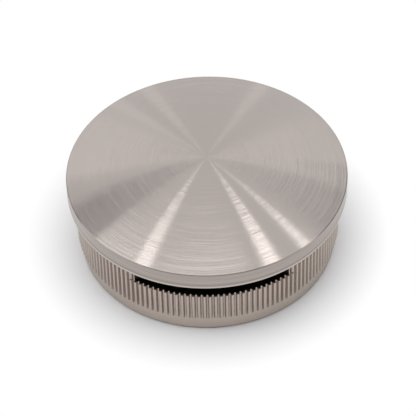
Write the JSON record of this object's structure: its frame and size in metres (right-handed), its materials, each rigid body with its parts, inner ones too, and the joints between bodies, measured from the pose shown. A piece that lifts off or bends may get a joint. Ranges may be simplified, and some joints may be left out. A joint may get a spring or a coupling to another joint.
{
  "type": "tube end cap",
  "caption": "Domed drive-in end cap that closes a round tube: brushed head flush with the tube, knurled and slotted spigot that grips the bore.",
  "frame": {"origin": "centre of the spigot's free end, on the turning axis, where the cap stands", "axes": "+Z along the turning axis towards the dome, -Y through the middle of the first slot"},
  "size_m": [0.0508, 0.0508, 0.02],
  "materials": {
    "brushed_stainless": "turned stainless steel, brushed in circles on the dome and round the side"
  },
  "bodies": {
    "root": {"end_cap": "brushed_stainless"}
  },
  "joints": []
}
